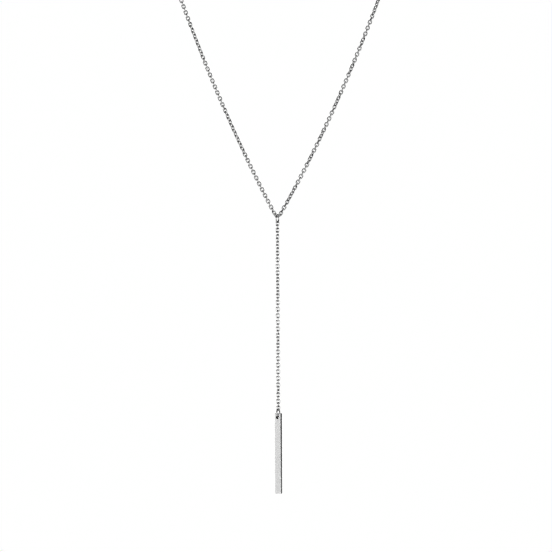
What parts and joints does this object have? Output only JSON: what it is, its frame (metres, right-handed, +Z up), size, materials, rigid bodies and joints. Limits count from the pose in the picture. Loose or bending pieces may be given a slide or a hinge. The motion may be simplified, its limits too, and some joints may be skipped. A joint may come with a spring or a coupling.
{
  "type": "bar necklace",
  "caption": "Worn loop of fine cable chain whose two front strands meet in a ring, with a straight chain drop that carries a plain upright bar.",
  "frame": {"origin": "the nape, at the middle of the clasp, where the neck carries the loop", "axes": "+Z up, -Y to the front where the strands meet, +X to the wearer's left"},
  "size_m": [0.1134, 0.1027, 0.3053],
  "materials": {
    "chain_steel": "polished steel wire",
    "ring_steel": "polished steel wire",
    "bar_steel": "fine satin polish with soft edges",
    "clasp_steel": "polished steel"
  },
  "bodies": {
    "necklace": {"drop_chain": "chain_steel", "joint_ring": "ring_steel", "chain_left": "chain_steel", "chain_right": "chain_steel", "chain_left_back": "chain_steel", "chain_right_back": "chain_steel", "end_ring_left": "ring_steel", "end_ring_right": "ring_steel", "clasp": "clasp_steel"},
    "pendant_ring": {"bar_ring": "ring_steel"},
    "pendant": {"bar": "bar_steel"}
  },
  "joints": [
    {"name": "ring_swing", "type": "hinge", "parent": "necklace", "child": "pendant_ring", "pos_m": [-0.0018, -0.098, -0.26076], "axis": [0.9367, -0.3502, 0], "range_deg": [-50, 50]},
    {"name": "bar_swing", "type": "hinge", "parent": "pendant_ring", "child": "pendant", "pos_m": [-0.0018, -0.098, -0.26421], "axis": [-0.3502, -0.9367, 0], "range_deg": [-120, 120]}
  ]
}
